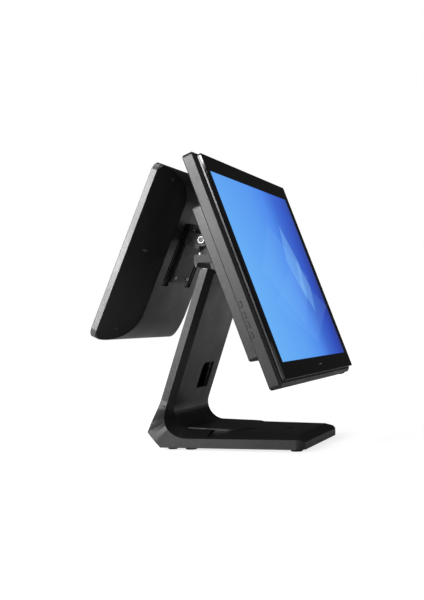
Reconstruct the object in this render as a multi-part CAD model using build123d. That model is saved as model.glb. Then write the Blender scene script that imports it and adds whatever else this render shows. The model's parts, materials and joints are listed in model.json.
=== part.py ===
from build123d import *
import os
from math import atan2, cos, degrees, radians, sin, tan

# Dual-screen point-of-sale terminal. Millimetres. X is the width, the operator is at -Y, the
# customer at +Y, +Z is up. The origin is the centre of the footprint box, on the counter.
# Both heads are drawn in a local frame: x across, y up the screen from its top edge, and z out
# of the glass, so that depth behind the glass is negative z.

# ---- driving dimensions -------------------------------------------------------------------
ORIGIN_Y = 38.5                  # the layout's datum is this far ahead of the footprint centre
FOOT_HEIGHT = 3.0

# operator's head: a 15 inch 4:3 panel
MAIN_TILT = 20.0
MAIN_TOP_Z = 341.4
GLASS_W, GLASS_H = 333.4, 268.6
GLASS_T = 2.8
GLASS_R = 2.5
ACTIVE_W, ACTIVE_H = 304.1, 228.1
ACTIVE_TOP = 20.7
FRAME_BACK = 4.5                 # back of the thin frame that carries the glass
RIM_BACK = 5.5                   # back of the shadow gap
HOUSING_W, HOUSING_H = 341.0, 279.3
HOUSING_TOP = 5.3                # height of the housing's top edge above the glass edge
HOUSING_BACK = 20.9
HOUSING_WALL = 3.0
BOX_W, BOX_H = 331.0, 183.8
BOX_TOP = -52.5
BOX_BACK = 32.8
BOX_WALL = 2.0

# customer's head
CUSTOMER_TILT = 24.2
CUSTOMER_TOP_Y, CUSTOMER_TOP_Z = 77.0, 345.4
CUSTOMER_W, CUSTOMER_H = 236.0, 225.0
CUSTOMER_R = 11.0
BEZEL_BACK = 9.0
SHELL_BACK = 38.0
SIDE_SLOPE, TOP_SLOPE, BOTTOM_SLOPE = 47.0, 37.0, 45.0
RIDGE_R = 4.0
CUSTOMER_ACTIVE_W, CUSTOMER_ACTIVE_H = 211.2, 158.4   # 10.4 inch 4:3 panel
CUSTOMER_ACTIVE_TOP = 24.0

# stand: a leaning arm that sweeps into a flat foot
ARM_LEAN = 19.5
ARM_HALF = 68.5
ARM_FACE_HALF = 60.5
ARM_THICK = 15.8
ARM_CHAMFER_DEPTH = 7.0
ARM_TOP_Z = 218.0
ARM_FRONT_Y, ARM_FRONT_Z = 52.5, 136.0                # a point on the arm's front face
INNER_FILLET = 23.0
BASE_HALF = 83.6
BASE_FRONT_Y = -87.0
BASE_EDGE_Z = 14.5
BASE_TOP_FRONT_Z, BASE_TOP_REAR_Z = 18.6, 24.4
SEAM_Y = 69.0
HEEL_BOTTOM_Y, HEEL_EDGE_Z = 92.5, 21.0
SHELL_WALL = 2.6
BASE_FACE_REAR, BASE_FACE_FRONT = 63.0, 68.0          # half widths of the foot's upper face
BEND_STEPS = 12                                       # slices round the inner corner
CORNER_R = 10.0                                       # the foot's front corners in plan
MARGIN_SLOPE = 0.27                                   # rise of the foot's sloping side margins
TONGUE_REACH_Y, TONGUE_SHOULDER_Y, TONGUE_HALF = -50.0, 16.0, 58.0
TONGUE_RISE = 0.9
CABLE_LOW, CABLE_HIGH = 69.0, 102.0
CABLE_NEAR, CABLE_FAR = 0.0, 40.0
CABLE_CUT = 5.0                                       # the opening's one cut corner
COVER_LOW, COVER_HIGH = HEEL_EDGE_Z + 8, ARM_TOP_Z - 9   # span of the arm's rear cover
COVER_T = 3.0
SPINE_T, SPINE_HALF = 4.0, 52.0
BASE_PLATE_LOW, BASE_PLATE_T = 5.2, 8.0
BOTTOM_COVER_T = 2.0
FOOT_X = 68.0
FOOT_PLACES = [(x, y) for x in (-FOOT_X, FOOT_X) for y in (-74.0, 58.0)]
HEEL_FOOT_Y = 82.0

# hinges: axis positions in the layout, radii and half lengths
MAIN_AXIS_Y, MAIN_AXIS_Z = 28.0, 243.0
MAIN_BARREL_R, MAIN_BARREL_HALF, MAIN_SHAFT_R = 10.5, 36.0, 4.0
MAIN_WASHER_R, MAIN_NUT_R = 9.0, 7.5
CUSTOMER_AXIS_Y, CUSTOMER_AXIS_Z = 52.0, 256.5
CUSTOMER_BARREL_R, CUSTOMER_BARREL_HALF, CUSTOMER_SHAFT_R = 8.0, 24.0, 3.0
CUSTOMER_WASHER_R, CUSTOMER_NUT_R = 6.5, 4.9
WASHER_T = 1.8
EAR_T = 4.0
SIDE_GAP = 0.1                   # between a turning ear and what it turns against
RUNNING_GAP = 0.05               # radial clearance of an ear on its shaft

# controls
KEY_PLACES = (174.9, 187.3, 198.4, 210.7)             # down the housing side from the glass top
KEY_L, KEY_H, KEY_PROUD, KEY_GAP = 7.0, 3.0, 0.6, 0.15
KEY_DEPTH = 17.2
POWER_X, POWER_DEPTH = 150.0, 13.5
POWER_L, POWER_H, POWER_PROUD = 9.0, 5.0, 1.0

# sockets along the computer box's lower wall: place across, width and height of each
PORT_DEPTH = (HOUSING_BACK + BOX_BACK) / 2
PORTS = [
    (-74.0, 9.0, 6.4), (-54.0, 14.0, 6.6), (-32.0, 16.0, 6.8), (-8.0, 16.0, 6.8),
    (14.0, 13.4, 6.0), (33.0, 13.4, 6.0), (52.0, 13.4, 6.0), (71.0, 13.4, 6.0),
]

# mounting plates and customer shell details, in the heads' frames
MOUNT_PLATE_T = 3.0
MOUNT_TOP, MOUNT_H, MOUNT_W = -68.0, 92.0, 104.0
CUSTOMER_PLATE_T = 2.5
CUSTOMER_PLATE_W, CUSTOMER_PLATE_H, CUSTOMER_PLATE_TOP = 54.0, 78.0, -58.0
CHANNEL_X, CHANNEL_W, CHANNEL_H, CHANNEL_TOP = -38.0, 20.0, 84.0, -58.0
SLOPE_TILT = degrees(atan2(SHELL_BACK - BEZEL_BACK, SIDE_SLOPE))
BASE_ALIGN = (Align.CENTER, Align.CENTER, Align.MIN)

# ---- frames and small helpers ---------------------------------------------------------------
main_lean, customer_lean = radians(MAIN_TILT), radians(CUSTOMER_TILT)
MAIN_FRAME = Plane(
    origin=(0, 0, MAIN_TOP_Z), x_dir=(1, 0, 0), z_dir=(0, -cos(main_lean), sin(main_lean))
)
CUSTOMER_FRAME = Plane(
    origin=(0, CUSTOMER_TOP_Y, CUSTOMER_TOP_Z),
    x_dir=(-1, 0, 0),
    z_dir=(0, cos(customer_lean), sin(customer_lean)),
)
ARM_SLOPE = tan(radians(ARM_LEAN))
FOOT_FALL = (BASE_TOP_REAR_Z - BASE_TOP_FRONT_Z) / (SEAM_Y - BASE_FRONT_Y)
ARM_ACROSS = ARM_THICK / cos(radians(ARM_LEAN))       # arm thickness measured along Y


def plate(width, height, top, front, back, radius=0.0, x=0.0):
    """A plate parallel to the screen, from depth front to depth back, hung from y = top."""
    outline = RectangleRounded(width, height, radius) if radius else Rectangle(width, height)
    return extrude(Pos(x, top - height / 2, -back) * outline, back - front)


def rod(radius, half, y=0.0, z=0.0, x=0.0):
    """A round bar along X, centred on x."""
    return Pos(x, y, z) * Rot(0, 90, 0) * Cylinder(radius, 2 * half)


def washer(outer, inner, thick, x, y, z):
    """A ring on an axis along X that starts at x and grows towards +X."""
    middle = x + thick / 2
    return rod(outer, thick / 2, y, z, middle) - rod(inner, thick, y, z, middle)


def side_profile(points, half):
    """A closed outline in Y and Z, extruded to half each side of the middle."""
    face = make_face(Polyline(*[(0, y, z) for y, z in points], close=True))
    return extrude(face, half, dir=(1, 0, 0), both=True)


def screw(radius, length, head_r, head_t):
    """A pan-head screw that points down -z, with its head's underside at the origin."""
    body = Pos(0, 0, -length / 2) * Cylinder(radius, length)
    head = Pos(0, 0, head_t / 2) * Cylinder(head_r, head_t)
    cross = Box(head_r * 1.3, head_r * 0.28, head_t) + Box(head_r * 0.28, head_r * 1.3, head_t)
    return chamfer((body + head).edges().sort_by(Axis.Z)[-1], head_t * 0.3) - Pos(0, 0, head_t) * cross


def local_point(frame, y, z):
    """Where a point of the layout's Y-Z plane lies in a head's frame."""
    return frame.to_local_coords(Vector(0, y, z))


def arm_front(z):
    return ARM_FRONT_Y - (z - ARM_FRONT_Z) * ARM_SLOPE


def arm_rear(z):
    return arm_front(z) + ARM_ACROSS


# ---- stand ------------------------------------------------------------------------------------
def outer_line():
    """The back and underside of the stand from the side: arm back, heel and sole."""
    return [
        Vector(arm_rear(ARM_TOP_Z), ARM_TOP_Z),
        Vector(arm_rear(HEEL_EDGE_Z), HEEL_EDGE_Z),
        Vector(HEEL_BOTTOM_Y, FOOT_HEIGHT),
        Vector(BASE_FRONT_Y, FOOT_HEIGHT),
    ]


def base_top(y):
    """Height of the foot's upper face, which falls gently towards the operator."""
    return BASE_TOP_REAR_Z + (y - SEAM_Y) * FOOT_FALL


def bend_centre():
    """The centre of the round inner corner between the arm's front and the foot's top."""
    lean = radians(ARM_LEAN)
    lift = INNER_FILLET * (1 + FOOT_FALL**2) ** 0.5
    # the arm's front face moved forward, and the foot's top moved up, by the corner's radius
    shift = INNER_FILLET / cos(lean)
    z = (base_top(0) + lift + FOOT_FALL * (arm_front(0) - shift)) / (1 + FOOT_FALL * ARM_SLOPE)
    return Vector(arm_front(z) - shift, z)


def reach_to_outer(centre, aim):
    """How far the stand's outer line is from the bend's centre in one direction."""
    line = outer_line()
    for start, end in zip(line, line[1:]):
        along = end - start
        across = aim.X * along.Y - aim.Y * along.X
        gap = start - centre
        distance = (gap.X * along.Y - gap.Y * along.X) / across
        share = (gap.X * aim.Y - gap.Y * aim.X) / across
        if distance > 0 and -1e-9 <= share <= 1 + 1e-9:
            return distance
    raise ValueError("the direction misses the outer line")


def stand_section(inner, outer, face_half, side_half, bevel):
    """A slice across the stand, given its inner and outer points in Y and Z."""
    aim = (outer - inner).normalized()
    edge = inner + aim * bevel
    half = [(face_half, inner), (side_half, edge), (side_half, outer)]
    points = half + [(-x, p) for x, p in reversed(half)]
    return make_face(Polyline(*[(x, p.X, p.Y) for x, p in points], close=True))


def smooth_step(share):
    return share * share * (3 - 2 * share)


def bend_sections():
    """Slices that fan out round the inner corner, from the arm down to the foot."""
    centre = bend_centre()
    arm_aim = Vector(cos(radians(ARM_LEAN)), sin(radians(ARM_LEAN)))
    foot_aim = Vector(FOOT_FALL, -1).normalized()
    start, end = atan2(arm_aim.Y, arm_aim.X), atan2(foot_aim.Y, foot_aim.X)
    turns = [start + (end - start) * step / BEND_STEPS for step in range(BEND_STEPS + 1)]
    for corner in outer_line()[1:3]:
        exact = atan2(corner.Y - centre.Y, corner.X - centre.X)
        nearest = min(range(1, BEND_STEPS), key=lambda i: abs(turns[i] - exact))
        turns[nearest] = exact
    slices = []
    for turn in turns:
        share = smooth_step((turn - start) / (end - start))
        flare = smooth_step(min(1.0, 1.7 * (turn - start) / (end - start)))
        aim = Vector(cos(turn), sin(turn))
        slices.append(
            stand_section(
                centre + aim * INNER_FILLET,
                centre + aim * reach_to_outer(centre, aim),
                ARM_FACE_HALF + (BASE_FACE_REAR - ARM_FACE_HALF) * share,
                ARM_HALF + (BASE_HALF - ARM_HALF) * flare,
                ARM_CHAMFER_DEPTH + (base_top(SEAM_Y) - BASE_EDGE_Z - ARM_CHAMFER_DEPTH) * share,
            )
        )
    return slices


def swept_solid():
    """The whole outer form: arm, bend and foot, each lofted between its slices."""
    bend = bend_sections()
    arm_end = stand_section(
        Vector(arm_front(ARM_TOP_Z), ARM_TOP_Z),
        Vector(arm_rear(ARM_TOP_Z), ARM_TOP_Z),
        ARM_FACE_HALF,
        ARM_HALF,
        ARM_CHAMFER_DEPTH / cos(radians(ARM_LEAN)),
    )
    nose = stand_section(
        Vector(BASE_FRONT_Y, BASE_TOP_FRONT_Z),
        Vector(BASE_FRONT_Y, FOOT_HEIGHT),
        BASE_FACE_FRONT,
        BASE_HALF,
        BASE_TOP_FRONT_Z - BASE_EDGE_Z,
    )
    arm = loft([arm_end, bend[0]], ruled=True)
    top = arm.edges().filter_by(Axis.X).group_by(Axis.Z)[-1]
    arm = fillet(top, 5.0)
    return arm + loft(bend, ruled=True) + loft([bend[-1], nose], ruled=True)


def base_block(half, front_y, inset=0.0):
    """The foot's plan, rounded at the front, with sloping margins along its sides and front."""
    length = SEAM_Y - front_y
    block = Pos(0, front_y + length / 2, 0) * Box(2 * half, length, 60)
    block = fillet(block.edges().filter_by(Axis.Z).group_by(Axis.Y)[0], CORNER_R - inset)
    edge_z = BASE_EDGE_Z - inset
    rise = half * MARGIN_SLOPE
    side = [(-half, 0), (half, 0), (half, edge_z), (0, edge_z + rise), (-half, edge_z)]
    ridge = make_face(Polyline(*[(x, 0, z) for x, z in side], close=True))
    ridge = extrude(ridge, 200, dir=(0, 1, 0), both=True)
    nose = side_profile(
        [
            (front_y, 0),
            (front_y, edge_z - 3),
            (front_y + 12, BASE_TOP_FRONT_Z + 1 - inset),
            (front_y + 40, 60),
            (SEAM_Y, 60),
            (SEAM_Y, 0),
        ],
        half,
    )
    return block & ridge & nose


def tongue():
    """The shallow raised tongue that runs forward from the arm over the foot."""
    half, shoulder = TONGUE_HALF, TONGUE_SHOULDER_Y
    waist_x, waist_y = 36, -6
    nose = Spline(
        (-half, shoulder),
        (-waist_x, waist_y),
        (0, TONGUE_REACH_Y),
        (waist_x, waist_y),
        (half, shoulder),
        tangents=((0, -1), (0, 1)),
    )
    back = Polyline((half, shoulder), (half, SEAM_Y), (-half, SEAM_Y), (-half, shoulder))
    column = extrude(Pos(0, 0, FOOT_HEIGHT + SHELL_WALL) * make_face(nose + back), 30)
    front_z, rear_z = BASE_TOP_FRONT_Z + TONGUE_RISE, BASE_TOP_REAR_Z + TONGUE_RISE
    ends = [(BASE_FRONT_Y, front_z), (SEAM_Y, rear_z)]
    layer = ends + [(y, z - 3) for y, z in reversed(ends)]
    return column & side_profile(layer, half)


def arm_cavity():
    """The arm's hollow, open at the back, where the rear cover closes it."""
    low, high = COVER_LOW, COVER_HIGH
    wall = SHELL_WALL / cos(radians(ARM_LEAN))
    return side_profile(
        [
            (arm_front(low) + wall, low),
            (arm_front(high) + wall, high),
            (arm_rear(high) + 1, high),
            (arm_rear(low) + 1, low),
        ],
        ARM_FACE_HALF - SHELL_WALL,
    )


def cable_window(grow=0.0, reach=14.0):
    """The cable opening in the arm's front wall, with one cut corner."""
    near, far = CABLE_NEAR - grow, CABLE_FAR + grow
    low, high = CABLE_LOW - grow, CABLE_HIGH + grow
    cut_x, cut_z = near + CABLE_CUT, high - CABLE_CUT
    outline = [(near, low), (far, low), (far, high), (cut_x, high), (near, cut_z)]
    face = make_face(Polyline(*[(x, arm_front(low) - reach, z) for x, z in outline], close=True))
    return extrude(face, 2 * reach, dir=(0, 1, 0))


def heel_region():
    """The space behind the seam and below the heel's edge, which the heel cover fills."""
    return side_profile(
        [(SEAM_Y, 0), (SEAM_Y, HEEL_EDGE_Z), (130, HEEL_EDGE_Z), (130, 0)], 100
    )


def stand_shell():
    front_limit = Pos(0, BASE_FRONT_Y + 60, 0) * Box(200, 120, 60)
    outer = swept_solid()
    corner = outer & front_limit & base_block(BASE_HALF, BASE_FRONT_Y)
    shell = (outer - front_limit) + corner + tongue() - heel_region()
    inner_foot = base_block(BASE_HALF - SHELL_WALL, BASE_FRONT_Y + SHELL_WALL, SHELL_WALL)
    inner_foot = inner_foot & side_profile(
        [
            (BASE_FRONT_Y, 0),
            (BASE_FRONT_Y, BASE_TOP_FRONT_Z - SHELL_WALL),
            (SEAM_Y - SHELL_WALL, BASE_TOP_REAR_Z - SHELL_WALL - 1),
            (SEAM_Y - SHELL_WALL, 0),
        ],
        BASE_HALF,
    )
    return shell - inner_foot - arm_cavity() - cable_window()


def arm_rear_cover():
    low, high = COVER_LOW, COVER_HIGH
    thick = COVER_T / cos(radians(ARM_LEAN))
    return side_profile(
        [
            (arm_rear(low) - thick, low),
            (arm_rear(high) - thick, high),
            (arm_rear(high), high),
            (arm_rear(low), low),
        ],
        ARM_FACE_HALF - SHELL_WALL,
    )


def heel_cover():
    """The rear block of the foot, hollow inside."""
    hollow = side_profile(
        [
            (SEAM_Y + 3, FOOT_HEIGHT + 2),
            (HEEL_BOTTOM_Y - 3, FOOT_HEIGHT + 2),
            (HEEL_BOTTOM_Y + 3, HEEL_EDGE_Z - 3),
            (SEAM_Y + 3, HEEL_EDGE_Z - 3),
        ],
        ARM_HALF - 4,
    )
    return (swept_solid() & heel_region()) - hollow


def arm_spine():
    """The steel strip inside the arm, with a window behind the cable opening."""
    low, high = COVER_LOW + 1, COVER_HIGH - 1
    front = SHELL_WALL + 0.1
    back = front + SPINE_T
    lean = cos(radians(ARM_LEAN))
    strip = side_profile(
        [
            (arm_front(low) + front / lean, low),
            (arm_front(high) + front / lean, high),
            (arm_front(high) + back / lean, high),
            (arm_front(low) + back / lean, low),
        ],
        SPINE_HALF,
    )
    return strip - cable_window(grow=4.0, reach=24.0)


def cable_grommet():
    """A thin rubber edging round the cable opening."""
    band = cable_window() - cable_window(grow=-1.4)
    lean = cos(radians(ARM_LEAN))
    wall = side_profile(
        [
            (arm_front(0) + 0.3 / lean, 0),
            (arm_front(150) + 0.3 / lean, 150),
            (arm_front(150) + SHELL_WALL / lean, 150),
            (arm_front(0) + SHELL_WALL / lean, 0),
        ],
        60,
    )
    return band & wall


def base_plate():
    """The steel ballast plate in the foot."""
    half, front, back = BASE_HALF - 8, BASE_FRONT_Y + 9, SEAM_Y - 6
    plan = Pos(0, (front + back) / 2, BASE_PLATE_LOW) * RectangleRounded(2 * half, back - front, 6)
    return extrude(plan, BASE_PLATE_T)


def bottom_cover():
    half, front, back = BASE_HALF - 4, BASE_FRONT_Y + 4, SEAM_Y - 4
    plan = Pos(0, (front + back) / 2, FOOT_HEIGHT) * RectangleRounded(2 * half, back - front, 8)
    return extrude(plan, BOTTOM_COVER_T)


def rubber_feet():
    pads = [Pos(x, y, 0) * Cylinder(7.0, FOOT_HEIGHT, align=BASE_ALIGN) for x, y in FOOT_PLACES]
    heel = [
        Pos(x, HEEL_FOOT_Y, 0) * Cylinder(6.0, FOOT_HEIGHT, align=BASE_ALIGN)
        for x in (-FOOT_X, FOOT_X)
    ]
    return [chamfer(pad.edges().group_by(Axis.Z)[0], 0.6) for pad in pads + heel]


def base_screws():
    """Countersunk screws under the foot, clear of the counter."""
    places = [(x, y) for x in (-50.0, 50.0) for y in (-60.0, 0.0, 50.0)]
    head = Cylinder(3.2, 0.9, align=BASE_ALIGN)
    return [Pos(x, y, FOOT_HEIGHT - 0.9) * head for x, y in places]


def hinge_bracket():
    """The cast block on the arm's top, with two barrels and a cable shelf."""
    neck = side_profile(
        [
            (arm_front(ARM_TOP_Z) + 1.5, ARM_TOP_Z),
            (22, 236),
            (24, 243),
            (34, 247),
            (45, 238),
            (arm_rear(ARM_TOP_Z) - 1.0, ARM_TOP_Z),
        ],
        30.0,
    )
    shelf = side_profile([(24, 228), (62, 228), (62, 238), (24, 238)], 33.0)
    hook = side_profile([(57, 228.5), (62, 228.5), (60.5, 222.5), (59, 222.5)], 33.0)
    web = side_profile([(45, 237), (59, 237), (57, 256), (47, 256)], CUSTOMER_BARREL_HALF - 3)
    barrels = rod(MAIN_BARREL_R, MAIN_BARREL_HALF, MAIN_AXIS_Y, MAIN_AXIS_Z)
    barrels += rod(CUSTOMER_BARREL_R, CUSTOMER_BARREL_HALF, CUSTOMER_AXIS_Y, CUSTOMER_AXIS_Z)
    bores = rod(MAIN_SHAFT_R, 60, MAIN_AXIS_Y, MAIN_AXIS_Z)
    bores += rod(CUSTOMER_SHAFT_R, 60, CUSTOMER_AXIS_Y, CUSTOMER_AXIS_Z)
    return neck + shelf + hook + web + barrels - bores


def bracket_screws():
    """Cap screws in the cable shelf, one a side."""
    head = Cylinder(2.6, 2.4, align=BASE_ALIGN)
    return [Pos(x, 55.0, 238.0) * head for x in (-28.0, 28.0)]


def hinge_set(axis_y, axis_z, barrel_half, shaft_r, washer_r, nut_r):
    """One hinge's shaft, friction washers and lock nuts, all fixed to the bracket."""
    ear_in = barrel_half + WASHER_T + SIDE_GAP
    nut_in = ear_in + EAR_T + SIDE_GAP
    nut_t = shaft_r * 1.1
    shaft = rod(shaft_r, nut_in + nut_t + 0.8, axis_y, axis_z)
    shaft = chamfer(shaft.edges().filter_by(GeomType.CIRCLE), 0.5)
    washers, nuts = [], []
    for start_w, start_n in ((barrel_half, nut_in), (-ear_in + SIDE_GAP, -nut_in - nut_t)):
        washers.append(washer(washer_r, shaft_r, WASHER_T, start_w, axis_y, axis_z))
        nut = extrude(Plane.YZ * RegularPolygon(nut_r, 6), nut_t)
        nut = Pos(start_n, axis_y, axis_z) * nut
        nuts.append(nut - rod(shaft_r, 90, axis_y, axis_z))
    return shaft, washers, nuts


def ears(frame, axis_y, axis_z, inner, radius, bore_r, plate_back, reach):
    """A pair of hinge cheeks in a head's frame, from its mounting plate back to the axis."""
    axis = local_point(frame, axis_y, axis_z)
    depth = -axis.Z
    cheek = Rot(0, 90, 0) * Cylinder(radius, EAR_T)
    arm = Pos(0, -reach * 0.2, (depth - plate_back) / 2) * Box(EAR_T, reach, depth - plate_back)
    cheek += arm
    cheek -= Rot(0, 90, 0) * Cylinder(bore_r, EAR_T * 2)
    middle = inner + EAR_T / 2
    return [Pos(x, axis.Y, axis.Z) * cheek for x in (-middle, middle)]


# ---- operator's head, in its own frame --------------------------------------------------------
def touch_glass():
    glass = plate(GLASS_W, GLASS_H, 0, 0, GLASS_T, GLASS_R)
    return chamfer(glass.faces().sort_by(Axis.Z)[-1].edges(), 0.4)


def glass_frame():
    ring = plate(GLASS_W, GLASS_H, 0, GLASS_T, FRAME_BACK, GLASS_R)
    return ring - plate(GLASS_W - 10, GLASS_H - 10, -5, 0, 10)


def lcd_panel():
    width, height = 320.0, 246.0
    return plate(width, height, (height - GLASS_H) / 2 + 2.3, GLASS_T, 11.5, 1.0)


def key_cap(length, height, depth_in, proud):
    """A push key along local X whose outer face is proud of the wall, with a retaining flange."""
    cap = Pos((depth_in - proud) / 2, 0, 0) * Box(depth_in + proud, length, height)
    outer = cap.faces().sort_by(Axis.X)[0].edges()
    cap = chamfer(outer, 0.4)
    flange = Pos(depth_in - 0.4, 0, 0) * Box(0.8, length + 2, height + 1.6)
    return cap + flange


def osd_key(place):
    """One menu key on the housing's side wall. It is pressed towards +X."""
    cap = key_cap(KEY_L, KEY_H, HOUSING_WALL + 0.9, KEY_PROUD)
    return Pos(-HOUSING_W / 2, -place, -KEY_DEPTH) * cap


def power_button():
    """The button under the housing's lower edge. It is pressed up into the housing."""
    cap = key_cap(POWER_L, POWER_H, HOUSING_WALL + 0.9, POWER_PROUD)
    return Pos(POWER_X, HOUSING_TOP - HOUSING_H, -POWER_DEPTH) * Rot(0, 0, 90) * cap


def main_housing():
    bottom = HOUSING_TOP - HOUSING_H
    outer = plate(HOUSING_W, HOUSING_H, HOUSING_TOP, RIM_BACK, HOUSING_BACK, 4.0)
    outer = chamfer(outer.faces().sort_by(Axis.Z)[-1].edges(), 3.4)
    rear = outer.faces().sort_by(Axis.Z)[0].edges()
    outer = chamfer(rear, 1.2)
    rim = plate(GLASS_W - 3, GLASS_H - 3, -1.5, FRAME_BACK, RIM_BACK + 1, 2)
    inside_w, inside_h = HOUSING_W - 2 * HOUSING_WALL, HOUSING_H - 2 * HOUSING_WALL
    cavity = plate(
        inside_w, inside_h, HOUSING_TOP - HOUSING_WALL, RIM_BACK + 2.2, HOUSING_BACK - 2.0, 2.0
    )
    mouth = plate(GLASS_W - 10, GLASS_H - 10, -5, 0, RIM_BACK + 3)
    passage = plate(120, 50, -110, HOUSING_BACK - 3, HOUSING_BACK + 1, 6)
    body = outer + rim - cavity - mouth - passage
    for place in KEY_PLACES:
        pocket = Box(12, KEY_L + 2 * KEY_GAP, KEY_H + 2 * KEY_GAP)
        body -= Pos(-HOUSING_W / 2, -place, -KEY_DEPTH) * pocket
        room = Box(3.0, KEY_L + 3.0, KEY_H + 2.4)
        body -= Pos(-HOUSING_W / 2 + HOUSING_WALL + 1.5, -place, -KEY_DEPTH) * room
    button = Box(POWER_L + 2 * KEY_GAP, 12, POWER_H + 2 * KEY_GAP)
    body -= Pos(POWER_X, bottom, -POWER_DEPTH) * button
    slot = Box(16.0, 12, 1.6)
    for side in (-1, 1):
        for column in range(4):
            for row in (-1, 1):
                x = side * (60.0 + 19.0 * column)
                body -= Pos(x, bottom, -POWER_DEPTH + 1.8 * row) * slot
    return body


def box_cover():
    """The computer's cover on the back of the housing, with cooling slots."""
    outer = plate(BOX_W, BOX_H, BOX_TOP, HOUSING_BACK, BOX_BACK, 3.0)
    outer = chamfer(outer.faces().sort_by(Axis.Z)[0].edges(), 1.0)
    inner = plate(
        BOX_W - 2 * BOX_WALL, BOX_H - 2 * BOX_WALL, BOX_TOP - BOX_WALL,
        HOUSING_BACK - 1, BOX_BACK - BOX_WALL, 1.5,
    )
    cover = outer - inner
    for side in (-1, 1):
        for column in range(11):
            x = side * (72.0 + 8.0 * column)
            cover -= plate(3.0, 34.0, BOX_TOP - 24, BOX_BACK - 4, BOX_BACK + 1, 1.4, x)
            cover -= plate(3.0, 34.0, BOX_TOP - 118, BOX_BACK - 4, BOX_BACK + 1, 1.4, x)
    window = Pos(0, BOX_TOP - BOX_H, -(HOUSING_BACK + BOX_BACK) / 2) * Box(180, 10, 8.4)
    return cover - window


def port_plate():
    """The metal strip that frames the sockets in the box's lower wall."""
    bottom = BOX_TOP - BOX_H
    strip = Pos(0, bottom + 1.0, -PORT_DEPTH) * Box(180, 1.2, 8.4)
    for x, width, height in PORTS:
        strip -= Pos(x, bottom + 1.0, -PORT_DEPTH) * Box(width, 4, height)
    return strip


def port_sockets():
    bottom = BOX_TOP - BOX_H
    blocks = []
    for x, width, height in PORTS:
        block = Pos(x, bottom + 8.2, -PORT_DEPTH) * Box(width, 14, height)
        recess = Pos(x, bottom + 1.2, -PORT_DEPTH) * Box(width - 1.4, 3.0, height - 1.4)
        blocks.append(block - recess)
    return blocks


def mainboard():
    return plate(200, 118, BOX_TOP - 44, HOUSING_BACK + 1.6, HOUSING_BACK + 3.0)


def heat_sink():
    top, front = BOX_TOP - 52, HOUSING_BACK + 3.0
    sink = plate(60, 60, top, front, front + 6.4, x=-60)
    for row in range(9):
        sink -= plate(3.4, 62, top + 1, front + 1.8, front + 8, x=-86.4 + 6.6 * row)
    return sink


def ssd_drive():
    return plate(69.8, 50, BOX_TOP - 60, HOUSING_BACK + 3.0, HOUSING_BACK + 9.5, 2, x=36)


def speakers():
    """Two small speakers behind the slots in the lower wall."""
    bottom = HOUSING_TOP - HOUSING_H
    y = bottom + HOUSING_WALL + 4.2
    units = []
    for x in (-88.5, 88.5):
        can = Pos(x, y, -15.0) * Box(64, 8.0, 7.0)
        units.append(fillet(can.edges().filter_by(Axis.Z), 2.0))
    return units


def status_light():
    """A small light bar that shines through the lower border of the glass."""
    return plate(6.0, 1.6, -GLASS_H + 9.5, GLASS_T, GLASS_T + 0.9)


def main_mount_plate():
    """The steel plate on the box with the two cheeks that turn on the hinge shaft."""
    back = BOX_BACK + MOUNT_PLATE_T
    solid = plate(MOUNT_W, MOUNT_H, MOUNT_TOP, BOX_BACK, back, 5.0)
    inner = MAIN_BARREL_HALF + WASHER_T + SIDE_GAP
    pair = ears(
        MAIN_FRAME, MAIN_AXIS_Y, MAIN_AXIS_Z, inner, MAIN_BARREL_R,
        MAIN_SHAFT_R + RUNNING_GAP, back - 1, 24.0,
    )
    return solid + pair[0] + pair[1] - main_mount_screws()


def main_mount_screws():
    head = screw(1.8, 1.0, 3.4, 2.0)
    y = MOUNT_TOP - MOUNT_H / 2
    back = BOX_BACK + MOUNT_PLATE_T
    return [
        Pos(dx, y + dy, -back) * Rot(180, 0, 0) * head
        for dx in (-46.0, 46.0)
        for dy in (-37.5, 37.5)
    ]


def box_screws():
    """Screws that hold the box cover, near its corners."""
    head = Cylinder(2.4, 1.2)
    return [
        Pos(dx, BOX_TOP - BOX_H / 2 + dy, -BOX_BACK - 0.6) * head
        for dx in (-155.0, 155.0)
        for dy in (-82.0, 82.0)
    ]


# ---- customer's head, in its own frame ----------------------------------------------------------
def customer_bezel():
    ring = plate(CUSTOMER_W, CUSTOMER_H, 0, 0, BEZEL_BACK - 1.0, CUSTOMER_R)
    ring = chamfer(ring.faces().sort_by(Axis.Z)[-1].edges(), 1.2)
    seat = plate(CUSTOMER_W - 8, CUSTOMER_H - 8, -4, -1, 2.6, CUSTOMER_R - 4)
    hollow = plate(CUSTOMER_W - 14, CUSTOMER_H - 14, -7, 0, BEZEL_BACK + 1, CUSTOMER_R - 6)
    gap = 1.5
    step_w, step_h = CUSTOMER_W - 2 * gap, CUSTOMER_H - 2 * gap
    step = plate(step_w, step_h, -gap, BEZEL_BACK - 1.0, BEZEL_BACK, CUSTOMER_R - gap)
    return ring + step - seat - hollow


def customer_glass():
    return plate(CUSTOMER_W - 8.4, CUSTOMER_H - 8.4, -4.2, 0.4, 2.6, CUSTOMER_R - 4.2)


def customer_lcd():
    width, height = CUSTOMER_ACTIVE_W + 8, CUSTOMER_ACTIVE_H + 8
    return plate(width, height, -CUSTOMER_ACTIVE_TOP + 4, 2.6, 9.0, 1.0)


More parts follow.
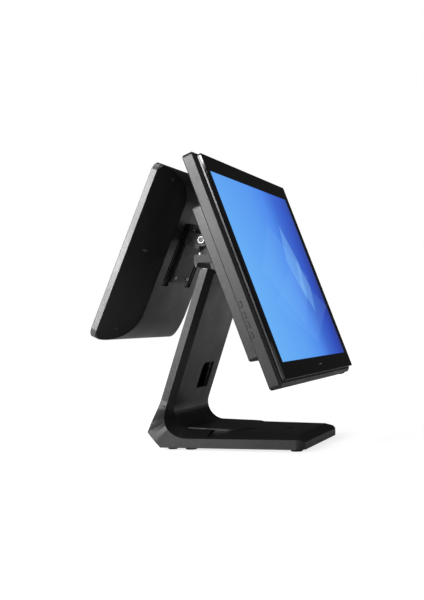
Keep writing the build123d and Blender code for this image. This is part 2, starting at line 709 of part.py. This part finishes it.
def rear_form(inset, back):
    """The back of the customer's head: flat side slopes cut by round upper and lower slopes."""
    front, half, low = -BEZEL_BACK, CUSTOMER_W / 2 - inset, -CUSTOMER_H + inset
    top_run, bottom_run = TOP_SLOPE - inset, BOTTOM_SLOPE - inset
    upper = EllipticalCenterArc(
        (-inset - top_run, front), top_run, back - BEZEL_BACK, start_angle=270, arc_size=90
    )
    lower = EllipticalCenterArc(
        (low + bottom_run, front), bottom_run, back - BEZEL_BACK, start_angle=180, arc_size=90
    )
    plateau = Line(lower @ 1, upper @ 0)
    rim = Line(upper @ 1, lower @ 0)
    across = Plane(origin=(0, 0, 0), x_dir=(0, 1, 0), z_dir=(1, 0, 0))
    profile = make_face(lower + plateau + upper + rim)
    profile = extrude(across * profile, half, both=True)
    flat = half - SIDE_SLOPE + inset
    trapezium = [(-half, front), (half, front), (flat, -back), (-flat, -back)]
    sides = make_face(Polyline(*[(x, 0, z) for x, z in trapezium], close=True))
    sides = extrude(sides, CUSTOMER_H * 2, dir=(0, 1, 0), both=True)
    rim_plan = plate(2 * half, CUSTOMER_H - 2 * inset, -inset, 0, back + 1, CUSTOMER_R - inset / 2)
    return profile & sides & rim_plan


def soften_ridges(form):
    """Round the curved ridges where the side slopes meet the upper and lower slopes."""
    ridges = [
        e
        for e in form.edges()
        if e.geom_type != GeomType.LINE and e.bounding_box().size.Z > 20 and e.length > 40
    ]
    return fillet(ridges, RIDGE_R)


def customer_rear_shell():
    outer = soften_ridges(rear_form(0.0, SHELL_BACK))
    inner = rear_form(SHELL_WALL, SHELL_BACK - SHELL_WALL)
    shell = outer - inner - customer_shell_screws() - slot_inserts()
    for x in (CHANNEL_X, -CHANNEL_X):
        shell -= plate(CHANNEL_W, CHANNEL_H, CHANNEL_TOP, SHELL_BACK - 6, SHELL_BACK + 1, 2, x=x)
    return shell


def channel_covers():
    """Ribbed covers in the two cable channels beside the mounting plate."""
    covers = []
    for x in (CHANNEL_X, -CHANNEL_X):
        width, height, top = CHANNEL_W - 0.4, CHANNEL_H - 0.4, CHANNEL_TOP - 0.2
        base = plate(width, height, top, SHELL_BACK - 4, SHELL_BACK - 2, 2, x=x)
        for offset in (-4.0, 4.0):
            rib_h, rib_top = height - 12, top - 6
            base += plate(2.4, rib_h, rib_top, SHELL_BACK - 3, SHELL_BACK - 0.4, 1, x=x + offset)
        covers.append(base)
    return covers


def customer_mount_plate():
    back = SHELL_BACK + CUSTOMER_PLATE_T
    solid = plate(CUSTOMER_PLATE_W, CUSTOMER_PLATE_H, CUSTOMER_PLATE_TOP, SHELL_BACK, back, 3.0)
    inner = CUSTOMER_BARREL_HALF + WASHER_T + SIDE_GAP
    pair = ears(
        CUSTOMER_FRAME, CUSTOMER_AXIS_Y, CUSTOMER_AXIS_Z, inner, CUSTOMER_BARREL_R,
        CUSTOMER_SHAFT_R + RUNNING_GAP, back - 1, 18.0,
    )
    return solid + pair[0] + pair[1] - customer_mount_screws()


def customer_board():
    return plate(120, 80, -70, 16.0, 17.6)


def customer_mount_screws():
    head = screw(1.4, 0.8, 2.6, 1.6)
    y = CUSTOMER_PLATE_TOP - CUSTOMER_PLATE_H / 2
    back = SHELL_BACK + CUSTOMER_PLATE_T
    return [
        Pos(dx, y + dy, -back) * Rot(180, 0, 0) * head for dx in (-20.0, 20.0) for dy in (-32.0, 32.0)
    ]


def slope_depth(x_from_edge):
    """Depth of the side slope at a distance in from the shell's side edge."""
    return BEZEL_BACK + (SHELL_BACK - BEZEL_BACK) * x_from_edge / SIDE_SLOPE


def customer_shell_screws():
    head = Cylinder(1.9, 2.2)
    inset = 22.0
    x = CUSTOMER_W / 2 - inset
    return [
        Pos(side * x, dy, -slope_depth(inset)) * Rot(0, -side * SLOPE_TILT, 0) * head
        for side in (-1, 1)
        for dy in (-13.0, -206.0)
    ]


def slot_inserts():
    """A small metal slot piece half-way down each side slope."""
    blocks = []
    for side in (-1, 1):
        x = side * (CUSTOMER_W / 2 - 20.0)
        piece = extrude(RectangleRounded(7.0, 3.0, 1.4), 1.6)
        blocks.append(Pos(x, -104.0, -slope_depth(20.0) - 0.3) * Rot(0, -side * SLOPE_TILT, 0) * piece)
    return blocks


# ---- assembly and export ------------------------------------------------------------------------
def placed(frame, shape):
    """Move a shape, or a list of shapes, out of a head's frame."""
    if isinstance(shape, list):
        return [frame.location * item for item in shape]
    return frame.location * shape


def build_all():
    main_shaft, main_washers, main_nuts = hinge_set(
        MAIN_AXIS_Y, MAIN_AXIS_Z, MAIN_BARREL_HALF, MAIN_SHAFT_R, MAIN_WASHER_R, MAIN_NUT_R
    )
    customer_shaft, customer_washers, customer_nuts = hinge_set(
        CUSTOMER_AXIS_Y, CUSTOMER_AXIS_Z, CUSTOMER_BARREL_HALF,
        CUSTOMER_SHAFT_R, CUSTOMER_WASHER_R, CUSTOMER_NUT_R,
    )
    nodes = {
        "stand_shell": stand_shell(),
        "arm_rear_cover": arm_rear_cover(),
        "heel_cover": heel_cover(),
        "arm_spine": arm_spine(),
        "cable_grommet": cable_grommet(),
        "base_plate": base_plate(),
        "bottom_cover": bottom_cover(),
        "rubber_feet": rubber_feet(),
        "base_screws": base_screws(),
        "hinge_bracket": hinge_bracket(),
        "bracket_screws": bracket_screws(),
        "main_hinge_shaft": main_shaft,
        "main_friction_washers": main_washers,
        "main_hinge_nuts": main_nuts,
        "customer_hinge_shaft": customer_shaft,
        "customer_friction_washers": customer_washers,
        "customer_hinge_nuts": customer_nuts,
    }
    main_parts = {
        "touch_glass": touch_glass(),
        "glass_frame": glass_frame(),
        "lcd_panel": lcd_panel(),
        "status_light": status_light(),
        "main_housing": main_housing(),
        "box_cover": box_cover(),
        "mainboard": mainboard(),
        "heat_sink": heat_sink(),
        "ssd_drive": ssd_drive(),
        "speakers": speakers(),
        "port_plate": port_plate(),
        "port_sockets": port_sockets(),
        "main_mount_plate": main_mount_plate(),
        "main_mount_screws": main_mount_screws(),
        "box_screws": box_screws(),
        "power_button": power_button(),
    }
    for number, place in enumerate(KEY_PLACES, 1):
        main_parts[f"osd_key_{number}"] = osd_key(place)
    customer_parts = {
        "customer_bezel": customer_bezel(),
        "customer_glass": customer_glass(),
        "customer_lcd": customer_lcd(),
        "customer_board": customer_board(),
        "customer_rear_shell": customer_rear_shell(),
        "channel_covers": channel_covers(),
        "customer_mount_plate": customer_mount_plate(),
        "customer_mount_screws": customer_mount_screws(),
        "customer_shell_screws": customer_shell_screws(),
        "slot_inserts": slot_inserts(),
    }
    nodes.update({name: placed(MAIN_FRAME, shape) for name, shape in main_parts.items()})
    nodes.update({name: placed(CUSTOMER_FRAME, shape) for name, shape in customer_parts.items()})
    return nodes


def main():
    os.makedirs("parts", exist_ok=True)
    home = Pos(0, -ORIGIN_Y, 0)
    for name, shape in build_all().items():
        solids = shape if isinstance(shape, list) else [shape]
        flat = [home * solid for item in solids for solid in item.solids()]
        export_step(flat[0] if len(flat) == 1 else Compound(children=flat), f"parts/{name}.step")


main()
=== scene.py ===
import json
from math import cos, radians, sin

import bmesh
import bpy
from mathutils import Matrix, Vector


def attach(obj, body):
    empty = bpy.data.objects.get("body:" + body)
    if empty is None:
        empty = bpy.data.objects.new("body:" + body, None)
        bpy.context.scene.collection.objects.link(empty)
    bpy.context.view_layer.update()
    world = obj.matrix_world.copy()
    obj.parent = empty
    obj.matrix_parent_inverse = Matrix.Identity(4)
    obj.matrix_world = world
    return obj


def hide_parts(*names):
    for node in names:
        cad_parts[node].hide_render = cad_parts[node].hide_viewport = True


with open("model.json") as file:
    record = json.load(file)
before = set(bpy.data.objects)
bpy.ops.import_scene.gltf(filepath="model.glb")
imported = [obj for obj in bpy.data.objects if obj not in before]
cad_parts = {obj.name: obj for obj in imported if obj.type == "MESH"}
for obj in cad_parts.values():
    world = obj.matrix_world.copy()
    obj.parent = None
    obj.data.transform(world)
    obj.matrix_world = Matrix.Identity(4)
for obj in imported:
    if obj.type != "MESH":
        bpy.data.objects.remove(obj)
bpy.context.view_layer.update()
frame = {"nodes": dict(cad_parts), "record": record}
NODES = frame["nodes"]

# Metres throughout. X is the width, the operator is at -Y, the customer at +Y, +Z is up.
MAIN_TILT = radians(20.0)
CUSTOMER_TILT = radians(24.2)

# the operator's glass, its lit window and the mark below it
GLASS_W, GLASS_H, GLASS_T, GLASS_R = 0.3334, 0.2686, 0.0028, 0.0025
WINDOW_W, WINDOW_H, WINDOW_TOP, WINDOW_SHIFT = 0.3041, 0.2281, 0.0207, -0.003
MARK_TOP, MARK_H, MARK_R = -0.2578, 0.0012, 0.0005
MARK_BARS = ((-0.0040, 0.0012), (0.0, 0.0036), (0.0040, 0.0012))    # place across and width

# the customer's glass: width, height, corner radius, place from the top, front and back depths
FACE_W, FACE_H, FACE_R, FACE_TOP = 0.2276, 0.2166, 0.0068, -0.0042
FACE_FRONT, FACE_BACK = 0.0004, 0.0026

# camera: turns in degrees, lens and sensor in millimetres
CAMERA_YAW, CAMERA_PITCH, CAMERA_ROLL = 20.005, 1.418, -1.498
CAMERA_PLACE = (-1.2126, -0.4287, 0.1509)
CAMERA_LENS, CAMERA_SENSOR, CAMERA_SHIFT = 60.59, 36.0, -1 / 600

FLOOR_HALF = 6.0


# ---- frames of the two heads ------------------------------------------------------------------
def head_frame(origin, across, outward):
    """A matrix whose x runs across a head, y up it and z out of its glass."""
    up = outward.cross(across)
    turn = Matrix((across, up, outward)).transposed()
    return Matrix.Translation(origin) @ turn.to_4x4()


def main_head_frame():
    """The operator's head, from the middle of its glass's top front edge."""
    out = Vector((0, -cos(MAIN_TILT), sin(MAIN_TILT)))
    corners = [v.co for v in NODES["touch_glass"].data.vertices]
    up = Vector((0, sin(MAIN_TILT), cos(MAIN_TILT)))
    top = max(c.dot(up) for c in corners)
    front = max(c.dot(out) for c in corners)
    return head_frame(up * top + out * front, Vector((1, 0, 0)), out)


def customer_head_frame():
    """The customer's head, from the middle of its bezel's top front edge."""
    out = Vector((0, cos(CUSTOMER_TILT), sin(CUSTOMER_TILT)))
    up = Vector((0, -sin(CUSTOMER_TILT), cos(CUSTOMER_TILT)))
    corners = [v.co for v in NODES["customer_bezel"].data.vertices]
    top = max(c.dot(up) for c in corners)
    front = max(c.dot(out) for c in corners)
    return head_frame(up * top + out * front, Vector((-1, 0, 0)), out)


MAIN = main_head_frame()
CUSTOMER = customer_head_frame()


# ---- material helpers -------------------------------------------------------------------------
class Shader:
    """A node material with a Principled shader and a few short ways to add detail to it."""

    def __init__(self, name, colour, rough, metal=0.0, coat=0.0, specular=0.5):
        self.material = bpy.data.materials.new(name)
        self.material.use_nodes = True
        self.tree = self.material.node_tree
        self.base = self.tree.nodes["Principled BSDF"]
        self.base.inputs["Base Color"].default_value = (*colour, 1)
        self.base.inputs["Roughness"].default_value = rough
        self.base.inputs["Metallic"].default_value = metal
        self.base.inputs["Coat Weight"].default_value = coat
        self.base.inputs["Coat Roughness"].default_value = 0.04
        self.base.inputs["Specular IOR Level"].default_value = specular
        self.place = self.node("ShaderNodeTexCoord").outputs["Object"]

    def node(self, kind, **settings):
        made = self.tree.nodes.new(kind)
        for key, value in settings.items():
            setattr(made, key, value)
        return made

    def link(self, source, target):
        self.tree.links.new(source, target)

    def stretched(self, scale, turn=(0, 0, 0)):
        """Object coordinates, scaled and turned."""
        mapping = self.node("ShaderNodeMapping")
        mapping.inputs["Scale"].default_value = scale
        mapping.inputs["Rotation"].default_value = turn
        self.link(self.place, mapping.inputs["Vector"])
        return mapping.outputs["Vector"]

    def noise(self, scale, detail=3.0, vector=None):
        noise = self.node("ShaderNodeTexNoise")
        noise.inputs["Scale"].default_value = scale
        noise.inputs["Detail"].default_value = detail
        self.link(vector or self.place, noise.inputs["Vector"])
        return noise.outputs["Fac"]

    def ramp(self, value, stops):
        """A colour ramp over a value. stops are (place, colour) pairs."""
        ramp = self.node("ShaderNodeValToRGB")
        elements = ramp.color_ramp.elements
        while len(elements) < len(stops):
            elements.new(0.5)
        for element, (place, colour) in zip(elements, stops):
            element.position = place
            element.color = (*colour, 1)
        self.link(value, ramp.inputs["Fac"])
        return ramp.outputs["Color"]

    def map_range(self, value, low, high, out_low, out_high):
        ranged = self.node("ShaderNodeMapRange")
        limits = {"From Min": low, "From Max": high, "To Min": out_low, "To Max": out_high}
        for socket, number in limits.items():
            ranged.inputs[socket].default_value = number
        self.link(value, ranged.inputs["Value"])
        return ranged.outputs["Result"]

    def math(self, operation, a, b=None):
        made = self.node("ShaderNodeMath", operation=operation)
        for socket, value in zip(made.inputs, (a, b)):
            if value is None:
                continue
            if isinstance(value, (int, float)):
                socket.default_value = value
            else:
                self.link(value, socket)
        return made.outputs[0]

    def mix(self, factor, a, b):
        """Blend two colours, each a socket or a tuple."""
        made = self.node("ShaderNodeMix", data_type="RGBA")
        for socket, value in ((made.inputs[0], factor), (made.inputs[6], a), (made.inputs[7], b)):
            if isinstance(value, tuple):
                socket.default_value = (*value, 1)
            elif isinstance(value, (int, float)):
                socket.default_value = value
            else:
                self.link(value, socket)
        return made.outputs[2]

    def bump(self, height, distance, strength=1.0):
        bump = self.node("ShaderNodeBump")
        bump.inputs["Distance"].default_value = distance
        bump.inputs["Strength"].default_value = strength
        self.link(height, bump.inputs["Height"])
        self.link(bump.outputs["Normal"], self.base.inputs["Normal"])

    def vary_roughness(self, value, low, high):
        self.link(self.map_range(value, 0.3, 0.7, low, high), self.base.inputs["Roughness"])

    def worn_edges(self, colour, worn, amount):
        """Lighter colour where the surface turns outward sharply."""
        pointed = self.node("ShaderNodeNewGeometry").outputs["Pointiness"]
        edge = self.map_range(pointed, 0.53, 0.60, 0.0, amount)
        patchy = self.math("MULTIPLY", edge, self.map_range(self.noise(180.0), 0.4, 0.6, 0.3, 1.0))
        self.link(self.mix(patchy, colour, worn), self.base.inputs["Base Color"])


def textured_plastic(name, shade, rough=0.42, grain=0.00004):
    """Black housing plastic with a fine spark-eroded grain."""
    s = Shader(name, shade, rough)
    fine = s.noise(2600.0, 2.0)
    cloudy = s.noise(22.0, 3.0)
    s.vary_roughness(cloudy, rough - 0.05, rough + 0.07)
    lighter = tuple(min(1, c * 1.25) for c in shade)
    mottled = s.mix(s.map_range(fine, 0.35, 0.65, 0.0, 1.0), shade, lighter)
    s.worn_edges(mottled, tuple(c * 2.4 + 0.01 for c in shade), 0.35)
    s.bump(fine, grain)
    return s.material


def smooth_plastic(name, shade, rough=0.3):
    s = Shader(name, shade, rough)
    cloudy = s.noise(40.0, 3.0)
    s.vary_roughness(cloudy, rough - 0.05, rough + 0.06)
    s.worn_edges(shade, tuple(c * 2 + 0.01 for c in shade), 0.3)
    s.bump(s.noise(900.0, 2.0), 0.000015)
    return s.material


def powder_coat(name, shade):
    s = Shader(name, shade, 0.5)
    lumps = s.noise(1400.0, 2.0)
    s.vary_roughness(lumps, 0.42, 0.58)
    s.worn_edges(shade, (0.25, 0.25, 0.26), 0.25)
    s.bump(lumps, 0.00006)
    return s.material


def steel(name, shade, rough, brushed=(1, 1, 60), metal=1.0):
    s = Shader(name, shade, rough, metal=metal)
    lines = s.noise(160.0, 4.0, s.stretched(brushed))
    s.vary_roughness(lines, rough - 0.08, rough + 0.12)
    darker = tuple(c * 0.8 for c in shade)
    s.link(s.ramp(lines, ((0.3, darker), (0.7, shade))), s.base.inputs["Base Color"])
    s.bump(lines, 0.00001)
    return s.material


def rubber(name):
    s = Shader(name, (0.018, 0.018, 0.018), 0.75)
    grain = s.noise(1800.0, 3.0)
    s.vary_roughness(grain, 0.68, 0.85)
    shades = s.ramp(grain, ((0.3, (0.014, 0.014, 0.014)), (0.7, (0.03, 0.03, 0.03))))
    s.link(shades, s.base.inputs["Base Color"])
    s.bump(grain, 0.00005)
    return s.material


def circuit_board(name):
    s = Shader(name, (0.01, 0.09, 0.04), 0.35)
    tracks = s.node("ShaderNodeTexBrick")
    tracks.inputs["Scale"].default_value = 160.0
    tracks.inputs["Color1"].default_value = (0.01, 0.10, 0.05, 1)
    tracks.inputs["Color2"].default_value = (0.01, 0.07, 0.035, 1)
    tracks.inputs["Mortar"].default_value = (0.03, 0.17, 0.08, 1)
    s.link(s.place, tracks.inputs["Vector"])
    s.link(tracks.outputs["Color"], s.base.inputs["Base Color"])
    s.vary_roughness(s.noise(300.0), 0.28, 0.42)
    return s.material


MATERIALS = {
    "textured_black": textured_plastic("textured_black", (0.0075, 0.0077, 0.0082), 0.36),
    "inner_plastic": textured_plastic("inner_plastic", (0.005, 0.005, 0.0055), 0.45),
    "black_rubber": rubber("black_rubber"),
    "zinc_steel": steel("zinc_steel", (0.55, 0.56, 0.58), 0.35),
    "screw_steel": steel("screw_steel", (0.8, 0.8, 0.82), 0.3, (30, 30, 1), metal=0.5),
    "screw_black": smooth_plastic("screw_black", (0.02, 0.02, 0.021), 0.35),
    "shaft_steel": steel("shaft_steel", (0.3, 0.3, 0.31), 0.35, (40, 1, 1)),
    "bracket_black": powder_coat("bracket_black", (0.006, 0.006, 0.0065)),
    "frame_grey": smooth_plastic("frame_grey", (0.03, 0.03, 0.032), 0.25),
    "panel_metal": steel("panel_metal", (0.5, 0.51, 0.52), 0.4),
    "light_white": smooth_plastic("light_white", (0.8, 0.82, 0.85), 0.3),
    "circuit_green": circuit_board("circuit_green"),
    "sink_aluminium": steel("sink_aluminium", (0.6, 0.61, 0.62), 0.3),
    "bezel_grey": textured_plastic("bezel_grey", (0.07, 0.07, 0.073), 0.26),
    "key_black": smooth_plastic("key_black", (0.012, 0.012, 0.012), 0.35),
}


def dress_cad_nodes():
    """Give every CAD node the procedural material of its slot."""
    for entry in frame["record"]["subparts"]:
        material = MATERIALS.get(entry["material_slot"])
        piece = NODES.get(entry["node"])
        if material and piece:
            piece.data.materials.clear()
            piece.data.materials.append(material)


# ---- screens ----------------------------------------------------------------------------------
def local_axis(s, matrix, axis):
    """The coordinate of a surface point along one axis of a head's frame."""
    direction = matrix.to_3x3().col[axis]
    origin = matrix.translation
    dot = s.node("ShaderNodeVectorMath", operation="DOT_PRODUCT")
    s.link(s.place, dot.inputs[0])
    dot.inputs[1].default_value = direction
    return s.math("SUBTRACT", dot.outputs["Value"], origin.dot(direction))


def inside_span(s, value, low, high, soft=0.0002):
    rise = s.map_range(value, low - soft, low + soft, 0.0, 1.0)
    fall = s.map_range(value, high - soft, high + soft, 1.0, 0.0)
    return s.math("MULTIPLY", rise, fall)


# pale overlapping diamonds in the picture: centre, half size and strength, as shares of the screen
FACETS = (
    (0.70, 0.56, 0.10, 0.23, 0.34),
    (0.76, 0.42, 0.08, 0.16, 0.30),
    (0.52, 0.48, 0.34, 0.30, 0.10),
    (0.60, 0.30, 0.40, 0.22, 0.08),
)


def screen_glass_material():
    """Black gloss glass whose clear window shows a blue picture with pale diamonds."""
    left, right = WINDOW_SHIFT - WINDOW_W / 2, WINDOW_SHIFT + WINDOW_W / 2
    bottom = -WINDOW_TOP - WINDOW_H
    s = Shader("screen_glass", (0.004, 0.004, 0.005), 0.05)
    x = local_axis(s, MAIN, 0)
    y = local_axis(s, MAIN, 1)
    z = local_axis(s, MAIN, 2)
    across = inside_span(s, x, left, right)
    down = inside_span(s, y, bottom, -WINDOW_TOP)
    front = s.math("GREATER_THAN", z, -0.0002)
    window = s.math("MULTIPLY", s.math("MULTIPLY", across, down), front)
    u = s.map_range(x, left, right, 0.0, 1.0)
    v = s.map_range(y, bottom, -WINDOW_TOP, 0.0, 1.0)
    sky = s.ramp(
        u,
        (
            (0.0, (0.135, 0.430, 0.92)),
            (0.40, (0.105, 0.350, 0.88)),
            (0.60, (0.078, 0.265, 0.84)),
            (0.76, (0.040, 0.130, 0.60)),
            (0.90, (0.024, 0.072, 0.50)),
            (1.0, (0.021, 0.042, 0.28)),
        ),
    )
    shade = s.map_range(v, 0.4, 1.0, 0.0, 0.22)
    picture = s.mix(shade, sky, (0.06, 0.20, 0.80))
    for centre_u, centre_v, half_u, half_v, strength in FACETS:
        off_u = s.math("ABSOLUTE", s.math("SUBTRACT", u, centre_u))
        off_v = s.math("ABSOLUTE", s.math("SUBTRACT", v, centre_v))
        reach = s.math("ADD", s.math("DIVIDE", off_u, half_u), s.math("DIVIDE", off_v, half_v))
        facet = s.map_range(reach, 0.97, 1.03, strength, 0.0)
        picture = s.mix(facet, picture, (0.24, 0.56, 0.99))
    s.link(picture, s.base.inputs["Emission Color"])
    s.link(window, s.base.inputs["Emission Strength"])
    return s.material


def rounded_rectangle(width, height, radius, steps=6):
    """Corner points of a rounded rectangle about the origin, anticlockwise."""
    points = []
    for sx, sy, start in ((1, 1, 0), (-1, 1, 90), (-1, -1, 180), (1, -1, 270)):
        cx, cy = sx * (width / 2 - radius), sy * (height / 2 - radius)
        for step in range(steps + 1):
            turn = radians(start + 90 * step / steps)
            points.append((cx + radius * cos(turn), cy + radius * sin(turn)))
    return points


def slab(name, matrix, width, height, radius, top, front, back, material, bevel=0.0004, x=0.0):
    """A rounded plate in a head's frame, with softened edges."""
    mesh = bpy.data.meshes.new(name)
    bm = bmesh.new()
    outline = rounded_rectangle(width, height, radius)
    rings = []
    for inset, depth in ((bevel, front), (0, front + bevel), (0, back - bevel), (bevel, back)):
        fx, fy = (width - 2 * inset) / width, (height - 2 * inset) / height
        middle = top - height / 2
        rings.append([bm.verts.new((px * fx + x, py * fy + middle, -depth)) for px, py in outline])
    count = len(outline)
    for ring, following in zip(rings, rings[1:]):
        for i in range(count):
            j = (i + 1) % count
            bm.faces.new((ring[i], following[i], following[j], ring[j]))
    bm.faces.new(rings[0])
    bm.faces.new(list(reversed(rings[-1])))
    bmesh.ops.recalc_face_normals(bm, faces=bm.faces)
    bm.to_mesh(mesh)
    bm.free()
    mesh.transform(matrix)
    piece = bpy.data.objects.new(name, mesh)
    bpy.context.scene.collection.objects.link(piece)
    mesh.materials.append(material)
    return piece


def operator_glass():
    material = screen_glass_material()
    glass = slab("operator_glass", MAIN, GLASS_W, GLASS_H, GLASS_R, 0, 0, GLASS_T, material)
    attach(glass, "main_head")
    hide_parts("touch_glass")


def light_bar():
    """A small pale mark of three bars in the glass's lower border."""
    for number, (x, wide) in enumerate(MARK_BARS, 1):
        bar = slab(
            f"border_mark_{number}", MAIN, wide, MARK_H, MARK_R, MARK_TOP, -0.00002, 0.0003,
            MATERIALS["light_white"], bevel=0.00001, x=x,
        )
        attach(bar, "main_head")


def customer_glass_piece():
    s = Shader("customer_glass", (0.004, 0.004, 0.005), 0.05)
    glass = slab(
        "customer_face", CUSTOMER, FACE_W, FACE_H, FACE_R, FACE_TOP, FACE_FRONT, FACE_BACK, s.material
    )
    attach(glass, "customer_head")
    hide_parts("customer_glass")


# ---- stage --------------------------------------------------------------------------------------
def make_camera():
    yaw, pitch, roll = radians(CAMERA_YAW), radians(CAMERA_PITCH), radians(CAMERA_ROLL)
    forward = Vector((cos(yaw) * cos(pitch), sin(yaw) * cos(pitch), sin(pitch)))
    level = Vector((sin(yaw), -cos(yaw), 0))
    down = forward.cross(level)
    right = level * cos(roll) - down * sin(roll)
    below = level * sin(roll) + down * cos(roll)
    data = bpy.data.cameras.new("camera")
    data.lens, data.sensor_width = CAMERA_LENS, CAMERA_SENSOR
    data.shift_y = CAMERA_SHIFT
    camera = bpy.data.objects.new("camera", data)
    turn = Matrix((right, -below, -forward)).transposed().to_4x4()
    camera.matrix_world = Matrix.Translation(CAMERA_PLACE) @ turn
    bpy.context.scene.collection.objects.link(camera)
    bpy.context.scene.camera = camera


def make_floor():
    """A flat pale floor, white to the eye and dimmer to everything that reflects it."""
    s = Shader("floor_white", (0.4, 0.4, 0.4), 0.6)
    cloudy = s.ramp(s.noise(3.0), ((0.3, (0.39, 0.39, 0.39)), (0.7, (0.41, 0.41, 0.41))))
    s.link(cloudy, s.base.inputs["Base Color"])
    s.base.inputs["Emission Color"].default_value = (1, 1, 1, 1)
    away = s.node("ShaderNodeVectorMath", operation="LENGTH")
    s.link(s.place, away.inputs[0])
    to_eye = s.map_range(away.outputs["Value"], 0.30, 1.0, 0.80, 1.0)
    to_object = s.map_range(away.outputs["Value"], 0.50, 1.3, 0.04, 0.75)
    seen = s.node("ShaderNodeLightPath").outputs["Is Camera Ray"]
    unseen = s.math("SUBTRACT", 1.0, seen)
    chosen = s.math("ADD", s.math("MULTIPLY", seen, to_eye), s.math("MULTIPLY", unseen, to_object))
    s.link(chosen, s.base.inputs["Emission Strength"])
    mesh = bpy.data.meshes.new("floor")
    half = FLOOR_HALF
    corners = [(-half, -half, 0), (half, -half, 0), (half, half, 0), (-half, half, 0)]
    mesh.from_pydata(corners, [], [(0, 1, 2, 3)])
    floor = bpy.data.objects.new("floor", mesh)
    bpy.context.scene.collection.objects.link(floor)
    mesh.materials.append(s.material)


ROOM_LIGHT = 0.03
# name, place, target, width, height and power of each soft box
SOFT_BOXES = (
    ("side_high", (-1.45, 0.42, 0.70), (-0.17, 0, 0.31), 0.30, 0.30, 12),
    ("side_tall", (-1.45, 0.80, 0.42), (-0.12, 0.09, 0.26), 0.24, 0.60, 13),
    ("top", (-0.2, 0.1, 1.7), (0, 0, 0.2), 1.3, 1.0, 10),
    ("front_left", (-1.1, -1.5, 0.6), (0, 0, 0.2), 0.5, 0.8, 2),
    ("back", (-0.1, 1.8, 0.9), (0, 0, 0.2), 1.0, 0.8, 12),
    ("far_side", (0.9, 1.3, 1.2), (0.1, 0, 0.2), 0.6, 0.8, 5),
)


def area_light(name, place, target, width, height, power):
    data = bpy.data.lights.new(name, "AREA")
    data.shape, data.size, data.size_y, data.energy = "RECTANGLE", width, height, power
    light = bpy.data.objects.new(name, data)
    light.location = place
    light.rotation_euler = (Vector(target) - Vector(place)).to_track_quat("-Z", "Y").to_euler()
    bpy.context.scene.collection.objects.link(light)


def light_the_set():
    """White for the camera, a dim room for everything else, and soft boxes round the object."""
    world = bpy.data.worlds.new("studio")
    bpy.context.scene.world = world
    world.use_nodes = True
    tree = world.node_tree
    background = tree.nodes["Background"]
    background.inputs["Color"].default_value = (1, 1, 1, 1)
    seen = tree.nodes.new("ShaderNodeLightPath")
    level = tree.nodes.new("ShaderNodeMapRange")
    level.inputs["To Min"].default_value = ROOM_LIGHT
    level.inputs["To Max"].default_value = 1.0
    tree.links.new(seen.outputs["Is Camera Ray"], level.inputs["Value"])
    tree.links.new(level.outputs["Result"], background.inputs["Strength"])
    for name, place, target, width, height, power in SOFT_BOXES:
        area_light(name, place, target, width, height, power)


bpy.context.scene.view_settings.view_transform = "Standard"
make_camera()
dress_cad_nodes()
operator_glass()
light_bar()
customer_glass_piece()
make_floor()
light_the_set()
